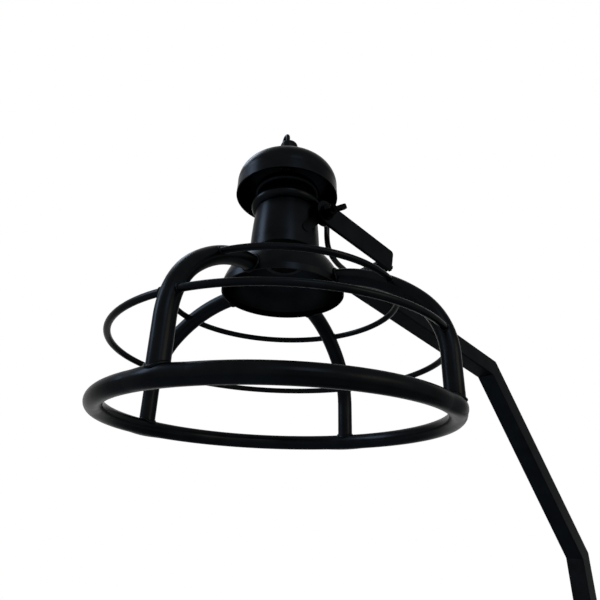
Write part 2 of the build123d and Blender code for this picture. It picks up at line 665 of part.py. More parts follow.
def bend_radii(route):
    """Bend radius at each corner of a route, as large as its two runs allow."""
    radii = []
    for before, corner, after in zip(route, route[1:], route[2:]):
        turn = (corner - before).get_angle(after - corner)
        shorter = min((corner - before).length, (after - corner).length)
        radii.append(0.45 * shorter / math.tan(math.radians(turn / 2)))
    return radii


def cable_tube(route, name):
    """Cable of straight runs joined by tangent arcs; its bends and length are printed."""
    radii = bend_radii(route)
    path = FilletPolyline(*route, radius=radii)
    print(name, "bend radii in mm:", [round(radius, 1) for radius in radii])
    print(name, "length in mm:", round(path.length, 1))
    return swept_bar(path, CABLE_RADIUS)


def make_inner_cable():
    """Cable inside the arm and pole, from the arm plug down to the inlet."""
    start = HEAD * Pos(*plug_face())
    first = Vector(head_x + MITRE[0], 0, RING_HEIGHT + MITRE[1])
    second = Vector(POLE_OFFSET, 0, RING_HEIGHT + slant_foot[1])
    inlet = Vector(POLE_OFFSET, 0, sole + INLET_HEIGHT)
    outside = inlet + Vector(ARM_SIZE / 2, 0, 0)
    path = FilletPolyline(start.position, first, second, inlet, outside, radius=list(INNER_BENDS))
    return swept_bar(path, CABLE_RADIUS)


def make_inlet():
    """Grommet round the end of the cable, where the mains lead would join it."""
    seat = Plane(origin=(POLE_OFFSET + ARM_SIZE / 2 - ARM_WALL, 0, sole + INLET_HEIGHT), z_dir=(1, 0, 0))
    grommet = extrude(seat * Circle(INLET_SEAT - RUNNING_FIT), ARM_WALL)
    grommet += extrude(seat.offset(ARM_WALL) * Circle(INLET_RIM), INLET_DEPTH)
    return grommet - extrude(seat * Circle(CABLE_RADIUS + RUNNING_FIT), ARM_WALL + INLET_DEPTH)


def write(parts):
    """Write each sub-part as its own STEP file."""
    os.makedirs("parts", exist_ok=True)
    for name, shape in parts.items():
        export_step(shape, f"parts/{name}.step")


def main():
    head = make_cage()
    head["bell"] = make_bell()
    head["neck"] = make_neck()
    head["collar"] = make_collar()
    head["cap"] = make_cap()
    head["pivot_lug"] = make_lug()
    head["strap_screws"] = make_tab_screws()
    for group in (make_strap(), make_holder(), make_top_knob(), make_pivot(), make_cable()):
        head.update(group)
    parts = {name: HEAD * shape for name, shape in head.items()}
    parts.update(make_stand())
    parts.update(make_base())
    parts["inner_cable"] = make_inner_cable()
    parts["cable_inlet"] = make_inlet()
    write(parts)


main()
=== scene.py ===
"""Looks of a wire cage floor lamp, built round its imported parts.

Everything is in metres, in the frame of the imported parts: the origin is the
middle of the base's underside on the floor, +Z is up and the arm runs along X,
with the lamp head over -X. Sizes that come from a drawing are kept in
millimetres and turned to metres by one factor, MM.
"""

import logging
import math
from dataclasses import dataclass
from enum import Enum
from typing import Mapping, Sequence

import bpy
from mathutils import Matrix, Vector

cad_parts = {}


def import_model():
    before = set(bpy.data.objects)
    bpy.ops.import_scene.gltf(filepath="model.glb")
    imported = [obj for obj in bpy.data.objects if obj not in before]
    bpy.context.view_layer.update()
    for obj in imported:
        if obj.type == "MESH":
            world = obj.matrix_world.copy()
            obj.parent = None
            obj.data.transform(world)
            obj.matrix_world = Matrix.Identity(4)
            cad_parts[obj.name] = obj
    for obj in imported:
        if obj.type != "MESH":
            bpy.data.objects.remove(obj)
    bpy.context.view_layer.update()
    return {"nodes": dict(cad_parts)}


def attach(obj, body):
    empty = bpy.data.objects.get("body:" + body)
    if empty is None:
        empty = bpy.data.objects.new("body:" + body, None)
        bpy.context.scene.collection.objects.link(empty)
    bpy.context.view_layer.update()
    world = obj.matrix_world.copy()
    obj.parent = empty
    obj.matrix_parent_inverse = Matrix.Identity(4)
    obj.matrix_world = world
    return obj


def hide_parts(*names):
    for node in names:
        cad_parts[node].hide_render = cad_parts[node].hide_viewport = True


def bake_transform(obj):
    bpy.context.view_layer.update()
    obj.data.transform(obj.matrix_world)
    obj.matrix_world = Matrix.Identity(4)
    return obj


log = logging.getLogger("lamp")

MM = 0.001

# Head's own origin, the centre of its bottom ring, in the lamp's frame (mm).
HEAD_MM = (-494.267, 0.0, 1350.0)


def at_head(x: float, y: float, z: float) -> Vector:
    """Place in the lamp's frame, in metres, of a point in the head's frame.

    Args:
        x: Millimetres from the head's axis, away from the head along the arm.
        y: Millimetres to the left of x.
        z: Millimetres above the bottom ring's centre.

    Returns:
        The point in metres.
    """
    return Vector((HEAD_MM[0] + x, HEAD_MM[1] + y, HEAD_MM[2] + z)) * MM


def linear(code: str) -> tuple[float, float, float, float]:
    """Turn an sRGB hex colour into the linear colour that a shader takes.

    Args:
        code: Six hexadecimal digits after a hash sign.

    Returns:
        Linear red, green, blue and an alpha of 1.
    """
    channels = [int(code[i : i + 2], 16) / 255 for i in (1, 3, 5)]
    low = [c / 12.92 for c in channels]
    high = [((c + 0.055) / 1.055) ** 2.4 for c in channels]
    rgb = [a if c <= 0.04045 else b for c, a, b in zip(channels, low, high)]
    return (rgb[0], rgb[1], rgb[2], 1.0)


def socket(node: bpy.types.Node, key: str | int) -> bpy.types.NodeSocket:
    """Find a node's input by its identifier, its name or its number.

    Args:
        node: The node.
        key: Identifier, name or number of the input.

    Returns:
        The input socket.
    """
    found = [entry for entry in node.inputs if entry.identifier == key]
    return found[0] if found else node.inputs[key]


def add_node(
    tree: bpy.types.NodeTree,
    kind: str,
    settings: Mapping[str, object],
    inputs: Mapping[str | int, object],
) -> bpy.types.Node:
    """Add a shader node with its settings, values and links.

    Args:
        tree: Node tree of a material or the world.
        kind: Blender's name of the node type.
        settings: Properties of the node.
        inputs: Input sockets, each with a value or with the output that feeds it.

    Returns:
        The new node.
    """
    node = tree.nodes.new(kind)
    for name, value in settings.items():
        setattr(node, name, value)
    for name, value in inputs.items():
        if isinstance(value, bpy.types.NodeSocket):
            tree.links.new(value, socket(node, name))
        else:
            socket(node, name).default_value = value
    return node


def start_ring(name: str, around: int, across: int) -> bpy.types.Object:
    """Add a torus as the start of a closed ring, whose points are placed next.

    Args:
        name: Name of the piece.
        around: Points along the ring.
        across: Points round its section. They follow each other in the mesh.

    Returns:
        The torus, as the active object.
    """
    bpy.ops.object.select_all(action="DESELECT")
    bpy.ops.mesh.primitive_torus_add(
        major_segments=around, minor_segments=across, major_radius=1.0, minor_radius=0.1
    )
    ring = bpy.context.active_object
    ring.name = ring.data.name = name
    return ring


def face_outwards() -> None:
    """Turn all faces of the active object outwards."""
    bpy.ops.object.mode_set(mode="EDIT")
    bpy.ops.mesh.select_all(action="SELECT")
    bpy.ops.mesh.normals_make_consistent(inside=False)
    bpy.ops.object.mode_set(mode="OBJECT")


# ---- finishes ----


# Noise seldom leaves these two values, so the mottling is spread between them.
NOISE_SPAN = (0.3, 0.7)


class Grain(Enum):
    """How the fine relief of a surface runs."""

    PEEL = "peel"
    DRAWN = "drawn"
    PITTED = "pitted"


@dataclass(frozen=True)
class Finish:
    """Finish of one real material, drawn by noise at real sizes.

    Attributes:
        name: Name of the material.
        dark: Colour in the hollows of the mottling, as sRGB hex.
        light: Colour on its crests.
        rough: Lowest and highest roughness.
        mottle_mm: Size of the colour mottling.
        grain: Kind of fine relief.
        grain_mm: Spacing of the fine relief.
        relief_mm: Height of the fine relief.
        metallic: Metallic share.
        ior: Index of refraction, for what isn't metal.
        edge: Tint of a metal's reflection at grazing angles, 1 for a bare one.
        mottle_noise: Detail and roughness of the mottling's noise.
        pit_softness: Smoothness of pitted relief.
        draw_ratio: How much finer drawn relief is along Z than across it.
        relief_detail: Detail of the fine relief's noise.
    """

    name: str
    dark: str
    light: str
    rough: tuple[float, float]
    mottle_mm: float
    grain: Grain
    grain_mm: float
    relief_mm: float
    metallic: float = 0.0
    ior: float = 1.5
    edge: float = 1.0
    mottle_noise: tuple[float, float] = (4.0, 0.6)
    pit_softness: float = 0.6
    draw_ratio: float = 14.0
    relief_detail: float = 2.0

    def make(self) -> bpy.types.Material:
        """Build the node material, or give back the one already built.

        Returns:
            The material.
        """
        known = bpy.data.materials.get(self.name)
        if known is not None:
            return known
        material = bpy.data.materials.new(self.name)
        material.use_nodes = True
        tree = material.node_tree
        tree.nodes.clear()
        place = add_node(tree, "ShaderNodeTexCoord", {}, {}).outputs["Object"]
        mottle = add_node(
            tree,
            "ShaderNodeTexNoise",
            {},
            {
                "Vector": place,
                "Scale": 1 / (self.mottle_mm * MM),
                "Detail": self.mottle_noise[0],
                "Roughness": self.mottle_noise[1],
            },
        )
        spread = {
            "Value": mottle.outputs["Fac"],
            "From Min": NOISE_SPAN[0],
            "From Max": NOISE_SPAN[1],
        }
        share = add_node(tree, "ShaderNodeMapRange", {}, spread)
        colour = add_node(
            tree,
            "ShaderNodeMix",
            {"data_type": "RGBA"},
            {
                "Factor": share.outputs["Result"],
                "A_Color": linear(self.dark),
                "B_Color": linear(self.light),
            },
        )
        rough = add_node(
            tree,
            "ShaderNodeMapRange",
            {},
            {**spread, "To Min": self.rough[0], "To Max": self.rough[1]},
        )
        relief = self._fine_relief(tree, place)
        bump = add_node(
            tree,
            "ShaderNodeBump",
            {},
            {"Height": relief, "Strength": 1.0, "Distance": self.relief_mm * MM},
        )
        shader = add_node(
            tree,
            "ShaderNodeBsdfPrincipled",
            {},
            {
                "Base Color": [o for o in colour.outputs if o.type == "RGBA"][0],
                "Specular Tint": (self.edge, self.edge, self.edge, 1.0),
                "Roughness": rough.outputs["Result"],
                "Metallic": self.metallic,
                "IOR": self.ior,
                "Normal": bump.outputs["Normal"],
            },
        )
        add_node(
            tree, "ShaderNodeOutputMaterial", {}, {"Surface": shader.outputs["BSDF"]}
        )
        return material

    def _fine_relief(
        self, tree: bpy.types.NodeTree, place: bpy.types.NodeSocket
    ) -> bpy.types.NodeSocket:
        """Add the nodes of the fine relief.

        Args:
            tree: Node tree of the material.
            place: Output that gives the place on the object.

        Returns:
            The output that gives the relief's height.
        """
        scale = 1 / (self.grain_mm * MM)
        if self.grain is Grain.PITTED:
            cells = add_node(
                tree,
                "ShaderNodeTexVoronoi",
                {"feature": "SMOOTH_F1"},
                {"Vector": place, "Scale": scale, "Smoothness": self.pit_softness},
            )
            return cells.outputs["Distance"]
        along = self.draw_ratio if self.grain is Grain.DRAWN else 1.0
        turned = add_node(
            tree, "ShaderNodeMapping", {}, {"Vector": place, "Scale": (1.0, 1.0, along)}
        )
        noise = add_node(
            tree,
            "ShaderNodeTexNoise",
            {},
            {
                "Vector": turned.outputs["Vector"],
                "Scale": scale,
                "Detail": self.relief_detail,
            },
        )
        return noise.outputs["Fac"]


# Satin black powder coat, baked on steel: it flows out to a soft orange peel about
# 1.5 mm across, drawn here at 2 mm so that it shows, which keeps its highlights
# broad. It darkens every reflection, also at the edges, so it is set as dark metal.
POWDER_COAT = Finish(
    name="baked_black_on_steel",
    dark="#0A0B0C",
    light="#0F1113",
    rough=(0.27, 0.36),
    mottle_mm=26.0,
    grain=Grain.PEEL,
    grain_mm=2.0,
    relief_mm=0.012,
    metallic=1.0,
    edge=0.54,
)
# Black oxide on the steel of the bolt, the screws and the wing nut: a thin skin
# with fine pits, a shade darker and duller than the paint.
BLACK_OXIDE = Finish(
    name="black_oxide_steel",
    dark="#070708",
    light="#0C0D0F",
    rough=(0.28, 0.40),
    mottle_mm=4.0,
    grain=Grain.PITTED,
    grain_mm=0.6,
    relief_mm=0.02,
    metallic=1.0,
    edge=0.42,
)
# Zinc plate on the steel of the hidden hardware: pale grey with a faint drawn grain.
ZINC_PLATE = Finish(
    name="zinc_plated_steel",
    dark="#8E9298",
    light="#B7BABD",
    rough=(0.28, 0.42),
    mottle_mm=6.0,
    grain=Grain.DRAWN,
    grain_mm=0.8,
    relief_mm=0.01,
    metallic=1.0,
)
# Drawn brass of the screw shell and the contact: warm and bright, faintly streaked.
DRAWN_BRASS = Finish(
    name="drawn_brass",
    dark="#A88746",
    light="#C9A860",
    rough=(0.22, 0.36),
    mottle_mm=8.0,
    grain=Grain.DRAWN,
    grain_mm=0.7,
    relief_mm=0.01,
    metallic=1.0,
)
# Moulded black thermoset of the lampholder: matt, with the mould's fine grain.
MOULDED_THERMOSET = Finish(
    name="moulded_thermoset",
    dark="#101011",
    light="#191919",
    rough=(0.45, 0.6),
    mottle_mm=12.0,
    grain=Grain.PITTED,
    grain_mm=0.8,
    relief_mm=0.02,
    ior=1.15,
)
# Moulded polypropylene of the arm's end plug: a little smoother than the lampholder.
MOULDED_PLASTIC = Finish(
    name="moulded_polypropylene",
    dark="#0F1012",
    light="#16171A",
    rough=(0.4, 0.52),
    mottle_mm=10.0,
    grain=Grain.PITTED,
    grain_mm=1.0,
    relief_mm=0.02,
    ior=1.15,
)
# PVC sheath of the cable: smooth and a little greasy, so it takes a bluish sheen.
PVC_SHEATH = Finish(
    name="pvc_sheath",
    dark="#0A0C0E",
    light="#101316",
    rough=(0.22, 0.32),
    mottle_mm=9.0,
    grain=Grain.PEEL,
    grain_mm=1.2,
    relief_mm=0.01,
    ior=1.2,
)
# Moulded rubber of the gland and the inlet: dull, with a soft sheen.
MOULDED_RUBBER = Finish(
    name="moulded_rubber",
    dark="#0C0C0D",
    light="#141415",
    rough=(0.55, 0.7),
    mottle_mm=6.0,
    grain=Grain.PITTED,
    grain_mm=0.7,
    relief_mm=0.02,
    ior=1.15,
)
# Sheet rubber under the base: quite matt, with a dusty mottling.
SHEET_RUBBER = Finish(
    name="sheet_rubber",
    dark="#101010",
    light="#1C1C1B",
    rough=(0.7, 0.85),
    mottle_mm=18.0,
    grain=Grain.PITTED,
    grain_mm=1.2,
    relief_mm=0.04,
    ior=1.52,
)
# Vulcanised fibre of the friction washer: matt and faintly brown.
VULCANISED_FIBRE = Finish(
    name="vulcanised_fibre",
    dark="#151414",
    light="#221F1E",
    rough=(0.6, 0.75),
    mottle_mm=3.0,
    grain=Grain.PITTED,
    grain_mm=0.5,
    relief_mm=0.02,
)

NODE_FINISHES: dict[Finish, tuple[str, ...]] = {
    POWDER_COAT: (
        "cage_bottom_ring",
        *(f"cage_rib_{number}" for number in (1, 2, 3, 4)),
        "thin_ring_lower",
        "thin_ring_upper",
        "bell",
        "neck",
        "collar",
        "cap",
        "pivot_lug",
        "arm_strap",
        "strap_tab",
        "arm_upper_tube",
        "arm_slant_tube",
        "pole_upper",
        "pole_lower",
        "pole_foot",
        "base_plate",
        "finial_nut",
        "top_loop",
    ),
    BLACK_OXIDE: (
        "pivot_bolt",
        "plain_washer",
        "wing_nut",
        "strap_screws",
        "pole_joint_screws",
        "pole_foot_screws",
    ),
    ZINC_PLATE: (
        "cap_spacer",
        "threaded_tube",
        "threaded_tube_nuts",
        "pole_joint_sleeve",
    ),
    DRAWN_BRASS: ("lampholder_screw_shell", "lampholder_contact"),
    MOULDED_THERMOSET: ("lampholder_body",),
    MOULDED_PLASTIC: ("arm_end_plug",),
    PVC_SHEATH: ("lampholder_leads", "head_cable", "inner_cable"),
    MOULDED_RUBBER: ("cable_gland", "cable_inlet"),
    SHEET_RUBBER: ("base_pad",),
    VULCANISED_FIBRE: ("friction_washer",),
}


def dress_nodes(nodes: Mapping[str, bpy.types.Object]) -> None:
    """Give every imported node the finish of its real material.

    Args:
        nodes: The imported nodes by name.
    """
    for finish, names in NODE_FINISHES.items():
        for name in names:
            mesh = nodes[name].data
            mesh.materials.clear()
            mesh.materials.append(finish.make())
        log.info("%s on %d nodes", finish.name, len(names))


# ---- free cable ----


@dataclass
class FreeCable:
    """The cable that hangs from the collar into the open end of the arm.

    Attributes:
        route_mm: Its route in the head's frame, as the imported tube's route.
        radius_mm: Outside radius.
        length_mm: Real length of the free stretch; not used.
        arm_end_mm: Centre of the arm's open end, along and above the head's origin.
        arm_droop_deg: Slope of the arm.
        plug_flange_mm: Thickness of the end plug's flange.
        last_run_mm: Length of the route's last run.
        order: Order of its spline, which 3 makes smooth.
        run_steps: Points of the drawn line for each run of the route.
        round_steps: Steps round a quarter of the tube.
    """

    route_mm: tuple[tuple[float, float, float], ...] = (
        (36.2, -7.7, 241.0),
        (45.9, -9.8, 235.3),
        (51.5, -11.0, 225.3),
        (51.3, -10.8, 211.0),
        (53.8, -10.0, 198.3),
        (62.0, -8.6, 189.0),
        (74.5, -6.4, 184.2),
        (87.0, -3.5, 183.6),
    )
    radius_mm: float = 3.2
    length_mm: float = 111.9
    arm_end_mm: tuple[float, float] = (112.0, 178.93)
    arm_droop_deg: float = 10.8
    plug_flange_mm: float = 2.0
    last_run_mm: float = 11.5
    order: int = 3
    run_steps: int = 8
    round_steps: int = 6

    def points(self) -> list[Vector]:
        """Lay the route out, with its end on the arm's own axis.

        Returns:
            The route's points, in metres.
        """
        droop = math.radians(self.arm_droop_deg)
        along = Vector((math.cos(droop), 0.0, -math.sin(droop)))
        end = Vector((self.arm_end_mm[0], 0.0, self.arm_end_mm[1]))
        end -= along * self.plug_flange_mm
        route = [Vector(point) for point in self.route_mm]
        route += [end - along * self.last_run_mm, end]
        return [at_head(*point) for point in route]

    def build(self) -> bpy.types.Object:
        """Build the cable as a curved tube from the collar into the arm's open end.

        Returns:
            The cable's mesh object.
        """
        route = self.points()
        curve = bpy.data.curves.new("cable_line", "CURVE")
        curve.dimensions = "3D"
        curve.resolution_u = self.run_steps
        spline = curve.splines.new("NURBS")
        spline.points.add(len(route) - 1)
        for point, place in zip(spline.points, route):
            point.co = (*place, 1.0)
        spline.order_u = self.order
        spline.use_endpoint_u = True
        line = bpy.data.objects.new("cable_line", curve)
        bpy.context.scene.collection.objects.link(line)
        centre = bpy.data.meshes.new_from_object(line)
        curve.bevel_depth = self.radius_mm * MM
        curve.bevel_resolution = self.round_steps
        curve.use_fill_caps = True
        bpy.context.view_layer.update()
        tube = bpy.data.objects.new("free_cable", bpy.data.meshes.new_from_object(line))
        bpy.context.scene.collection.objects.link(tube)
        bpy.data.objects.remove(line)
        tube.data.shade_smooth()
        tube.data.materials.clear()
        tube.data.materials.append(PVC_SHEATH.make())
        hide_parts("head_cable")
        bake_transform(tube)
        return tube


# ---- welds ----


def circle_through(
    first: tuple[float, float], middle: tuple[float, float], last: tuple[float, float]
) -> tuple[float, float, float]:
    """Find the circle through three points.

    Args:
        first: One end of the arc.
        middle: A point on the arc.
        last: Its other end.

    Returns:
        The centre's two coordinates and the radius.
    """
    (ax, ay), (bx, by), (cx, cy) = first, middle, last
    twice = 2 * ((bx - ax) * (cy - ay) - (by - ay) * (cx - ax))
    rise_b = (bx * bx - ax * ax) + (by * by - ay * ay)
    rise_c = (cx * cx - ax * ax) + (cy * cy - ay * ay)
    x = (rise_b * (cy - ay) - rise_c * (by - ay)) / twice
    y = (rise_c * (bx - ax) - rise_b * (cx - ax)) / twice
    return x, y, math.hypot(ax - x, ay - y)


@dataclass
class Welds:
    """Welds of the cage, at its ribs' feet and tops and at its thin rings' joints.

    All sizes are in millimetres, in the head's frame.

    Attributes:
        ring: Centreline radius and tube radius of the bottom ring.
        rib: Radius at which a rib stands, and its tube radius.
        rib_turn_deg: Turn of the first rib from the arm's direction.
        rib_count: Number of ribs.
        straight: Height at which a rib starts to bend.
        shoulder: Radius of its first bend.
        crown: Radius of its second bend.
        crown_drop: Second bend's centre below the first one's.
        rods: Centreline radius and height of each thin ring, by its name.
        rod_radius: Radius of a thin ring's rod.
        bell_side: Radius and height of the bell where its dome starts.
        bell_dome: A point half way up its dome.
        bell_top: The dome's end, at the neck.
        steps: Points along one bead.
        bead_steps: Points round a bead's section.
        foot_bead: Radius of the bead round a rib's foot.
        top_bead: Radius of the bead at a rib's top.
        rod_bead: Radius of the beads at a thin ring's joints.
        ripple: Spacing of a hand-laid bead's ripples, and their share of its radius.
        foot_inset: How far a foot bead's middle lies inside the rib's skin.
        stand_off: Middle of a top bead above the bell's sheet, which keeps it outside.
        search_deg: Angles on the second bend between which it meets the bell.
        halvings: Times that the search for that angle is halved.
        build_up: Half length, offset and fatness of the ground weld outside a foot.
        sunk: How far the ground weld's ends lie under the ring's skin.
        rows: Points along a ground weld.
        round_steps: Points round it.
    """

    ring: tuple[float, float] = (160.0, 8.0)
    rib: tuple[float, float] = (161.3, 8.3)
    rib_turn_deg: float = 21.7
    rib_count: int = 4
    straight: float = 42.0
    shoulder: float = 74.5
    crown: float = 136.0
    crown_drop: float = 44.0
    rods: tuple[tuple[str, float, float], ...] = (
        ("lower", 160.0, 63.6),
        ("upper", 115.7, 116.3),
    )
    rod_radius: float = 3.1
    bell_side: tuple[float, float] = (62.4, 131.0)
    bell_dome: tuple[float, float] = (52.6, 152.8)
    bell_top: tuple[float, float] = (36.9, 170.0)
    steps: int = 72
    bead_steps: int = 10
    foot_bead: float = 1.7
    top_bead: float = 1.5
    rod_bead: float = 0.9
    ripple: tuple[float, float] = (1.6, 0.07)
    foot_inset: float = 0.5
    stand_off: float = 0.4
    search_deg: tuple[float, float] = (45.0, 88.0)
    halvings: int = 24
    build_up: tuple[float, float, float] = (30.0, 2.1, 0.45)
    sunk: float = 0.1
    rows: int = 49
    round_steps: int = 40

    def build(self) -> list[bpy.types.Object]:
        """Lay every weld of the cage.

        Returns:
            The welds.
        """
        welds = []
        foot, top = self._foot_line(), self._top_line()
        for index in range(self.rib_count):
            turn = math.radians(self.rib_turn_deg + index * 360 / self.rib_count)
            place = Matrix.Rotation(turn, 4, "Z")
            rib = index + 1
            welds.append(self._ground_weld(f"ground_weld_{rib}", place))
            welds.append(self._bead(f"weld_foot_{rib}", foot, self.foot_bead, place))
            welds.append(self._bead(f"weld_top_{rib}", top, self.top_bead, place))
            for rod, radius, height in self.rods:
                for side, hand in ((-1, "a"), (1, "b")):
                    name = f"weld_{rod}_{rib}{hand}"
                    line = self._rod_line(radius, height, side)
                    welds.append(self._bead(name, line, self.rod_bead, place))
        return welds

    def _angles(self) -> list[float]:
        """Even angles round a tube."""
        return [math.tau * step / self.steps for step in range(self.steps)]

    def _foot_line(self) -> list[Vector]:
        """Find the line round a rib's foot, down on the bottom ring's surface.

        Returns:
            The closed line, in the rib's own plane.
        """
        reach = self.rib[1] - self.foot_inset
        line = []
        for angle in self._angles():
            out = self.rib[0] + reach * math.cos(angle)
            across = reach * math.sin(angle)
            past = out - self.ring[0]
            offset, radius = self._swelling(across)
            heights = (self.ring[1] ** 2 - past**2, radius**2 - (past - offset) ** 2)
            line.append(Vector((out, across, math.sqrt(max(*heights, 0.0)))))
        return line

    def _swelling(self, across: float) -> tuple[float, float]:
        """Find the ground weld's section at a distance from the rib's plane.

        Args:
            across: The distance along the bottom ring.

        Returns:
            Offset of its middle from the ring's centreline, and its radius.
        """
        length, offset, fatness = self.build_up
        share = math.cos(math.pi / 2 * min(abs(across) / length, 1.0)) ** 2
        return offset * share, self.ring[1] - self.sunk + fatness * share

    def _ground_weld(self, name: str, place: Matrix) -> bpy.types.Object:
        """Model the weld that was ground flush in front of a rib's foot.

        Args:
            name: Name of the piece.
            place: Turn to the rib.

        Returns:
            The ground weld, which rides with the head.
        """
        bpy.ops.object.select_all(action="DESELECT")
        bpy.ops.mesh.primitive_cylinder_add(
            vertices=self.round_steps, radius=1.0, depth=1.0, end_fill_type="NGON"
        )
        weld = bpy.context.active_object
        weld.name = weld.data.name = name
        bpy.ops.object.mode_set(mode="EDIT")
        bpy.ops.mesh.select_mode(type="EDGE")
        bpy.ops.mesh.select_all(action="DESELECT")
        bpy.ops.object.mode_set(mode="OBJECT")
        for edge in weld.data.edges:
            ends = {weld.data.vertices[index].co.z > 0 for index in edge.vertices}
            edge.select = len(ends) > 1
        bpy.ops.object.mode_set(mode="EDIT")
        bpy.ops.mesh.subdivide(number_cuts=self.rows - 2)
        bpy.ops.object.mode_set(mode="OBJECT")
        for vertex in weld.data.vertices:
            across = vertex.co.z * 2 * self.build_up[0]
            offset, radius = self._swelling(across)
            out = self.ring[0] + offset + vertex.co.x * radius
            turn = across / self.ring[0]
            up = vertex.co.y * radius
            spot = Vector((out * math.cos(turn), out * math.sin(turn), up))
            vertex.co = at_head(*(place @ spot))
        return self._dress(weld)

    def _bends(self) -> tuple[tuple[float, float], tuple[float, float]]:
        """Find the centres of a rib's two bends.

        Returns:
            Radius and height of the first bend's centre, and of the second's.
        """
        first = (self.rib[0] - self.shoulder, self.straight)
        inset = math.sqrt((self.crown - self.shoulder) ** 2 - self.crown_drop**2)
        return first, (first[0] - inset, self.straight - self.crown_drop)

    def _top_line(self) -> list[Vector]:
        """Find the line where a rib's tube meets the bell, by halving along the tube.

        Returns:
            The closed line, in the rib's own plane.
        """
        middle = self._bends()[1]
        x, z, radius = circle_through(self.bell_side, self.bell_dome, self.bell_top)
        line = []
        for angle in self._angles():
            reach = self.crown + self.rib[1] * math.cos(angle)
            across = self.rib[1] * math.sin(angle)
            low, high = (math.radians(limit) for limit in self.search_deg)
            for _ in range(self.halvings):
                turn = (low + high) / 2
                out = middle[0] + reach * math.cos(turn)
                up = middle[1] + reach * math.sin(turn)
                wall = self.bell_side[0]
                if up > self.bell_side[1]:
                    rise = min(up, self.bell_top[1]) - z
                    wall = x + math.sqrt(max(radius**2 - rise**2, 0.0))
                if math.hypot(out, across) > wall + self.stand_off:
                    low = turn
                else:
                    high = turn
            line.append(Vector((out, across, up)))
        return line

    def _rod_line(self, radius: float, height: float, side: int) -> list[Vector]:
        """Find the line where a thin ring's rod meets one side of a rib.

        Args:
            radius: Centreline radius of the thin ring.
            height: Height of the thin ring.
            side: Side of the rib, -1 or 1.

        Returns:
            The closed line, in the rib's own plane.
        """
        first, second = self._bends()
        line = []
        for angle in self._angles():
            out = radius + self.rod_radius * math.cos(angle)
            up = height + self.rod_radius * math.sin(angle)
            gaps = (
                abs(math.hypot(out - first[0], up - first[1]) - self.shoulder),
                abs(math.hypot(out - second[0], up - second[1]) - self.crown),
            )
            sideways = math.sqrt(max(self.rib[1] ** 2 - min(gaps) ** 2, 0.0))
            turn = side * math.asin(sideways / out)
            line.append(Vector((out * math.cos(turn), out * math.sin(turn), up)))
        return line

    def _bead(
        self, name: str, line: Sequence[Vector], size: float, place: Matrix
    ) -> bpy.types.Object:
        """Bend a ring onto a closed line, with the faint ripple of a hand-laid weld.

        Args:
            name: Name of the piece.
            line: The closed line, in a rib's own plane.
            size: Radius of the bead.
            place: Turn to the rib.

        Returns:
            The bead, which rides with the head.
        """
        bead = start_ring(name, len(line), self.bead_steps)
        line = [place @ point for point in line]
        middle = sum(line, Vector()) / len(line)
        spacing, depth = self.ripple
        run = 0.0
        for index, point in enumerate(line):
            before, after = line[index - 1], line[(index + 1) % len(line)]
            along = (after - before).normalized()
            outward = (point - middle).normalized()
            side = along.cross(outward).normalized()
            outward = side.cross(along)
            run += (point - before).length
            radius = size * (1 + depth * math.sin(math.tau * run / spacing))
            for step in range(self.bead_steps):
                turn = math.tau * step / self.bead_steps
                way = outward * math.cos(turn) + side * math.sin(turn)
                vertex = bead.data.vertices[index * self.bead_steps + step]
                vertex.co = at_head(*(point + way * radius))
        return self._dress(bead)

    def _dress(self, weld: bpy.types.Object) -> bpy.types.Object:
        """Smooth a weld, paint it like the frame and let it ride with the head.

        Args:
            weld: The weld, as the active object.

        Returns:
            The same weld.
        """
        weld.data.shade_smooth()
        face_outwards()
        weld.data.materials.append(POWDER_COAT.make())
        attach(weld, "head")
        return weld


# ---- lampholder ----


@dataclass
class ScrewShell:
    """Drawn screw shell of the lampholder, with its rolled, round thread.

    All sizes are in millimetres, in the head's frame.

    Attributes:
        crest: Radius inside the thread's crests.
        root: Radius in its grooves.
        outside: Outside radius.
        heights: Lower end and underside of the lip.
        lip: Radius and thickness of the lip.
        pitch: Thread's advance in one turn.
        run_out: Height over which the thread fades at each end.
        rows: Points down the bore.
        turns: Points round the bore.
        crease_deg: Angle from which an edge of the sheet stays sharp.
    """

    crest: float = 13.3
    root: float = 14.0
    outside: float = 14.2
    heights: tuple[float, float] = (164.0, 192.0)
    lip: tuple[float, float] = (15.5, 1.5)
    pitch: float = 3.63
    run_out: float = 2.0
    rows: int = 110
    turns: int = 96
    crease_deg: float = 40.0

    def build(self) -> bpy.types.Object:
        """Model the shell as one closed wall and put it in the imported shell's place.

        Returns:
            The shell, which rides with the head.
        """
        low, high = self.heights
        top = high + self.lip[1]
        outline = [(self.outside, low), (self.outside, high), (self.lip[0], high)]
        outline.append((self.lip[0], top))
        bore = [top - (top - low) * row / (self.rows - 1) for row in range(self.rows)]
        across = len(outline) + len(bore)
        shell = start_ring("screw_shell", self.turns, across)
        for turn in range(self.turns):
            angle = math.tau * turn / self.turns
            section = outline + [(self._thread(up, angle), up) for up in bore]
            for step, (out, up) in enumerate(section):
                spot = at_head(out * math.cos(angle), out * math.sin(angle), up)
                shell.data.vertices[turn * across + step].co = spot
        face_outwards()
        bpy.ops.object.shade_smooth_by_angle(angle=math.radians(self.crease_deg))
        shell.data.materials.append(DRAWN_BRASS.make())
        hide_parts("lampholder_screw_shell")
        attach(shell, "head")
        return shell

    def _thread(self, height: float, angle: float) -> float:
        """Find the threaded bore's radius at one place.

        Args:
            height: Height of the place.
            angle: Its angle round the bore.

        Returns:
            The radius.
        """
        top = self.heights[1] + self.lip[1]
        fade = min(height - self.heights[0], top - height, self.run_out) / self.run_out
        wave = (1 - math.cos(math.tau * height / self.pitch - angle)) / 2
        return self.crest + (self.root - self.crest) * wave * fade


# ---- wing nut ----


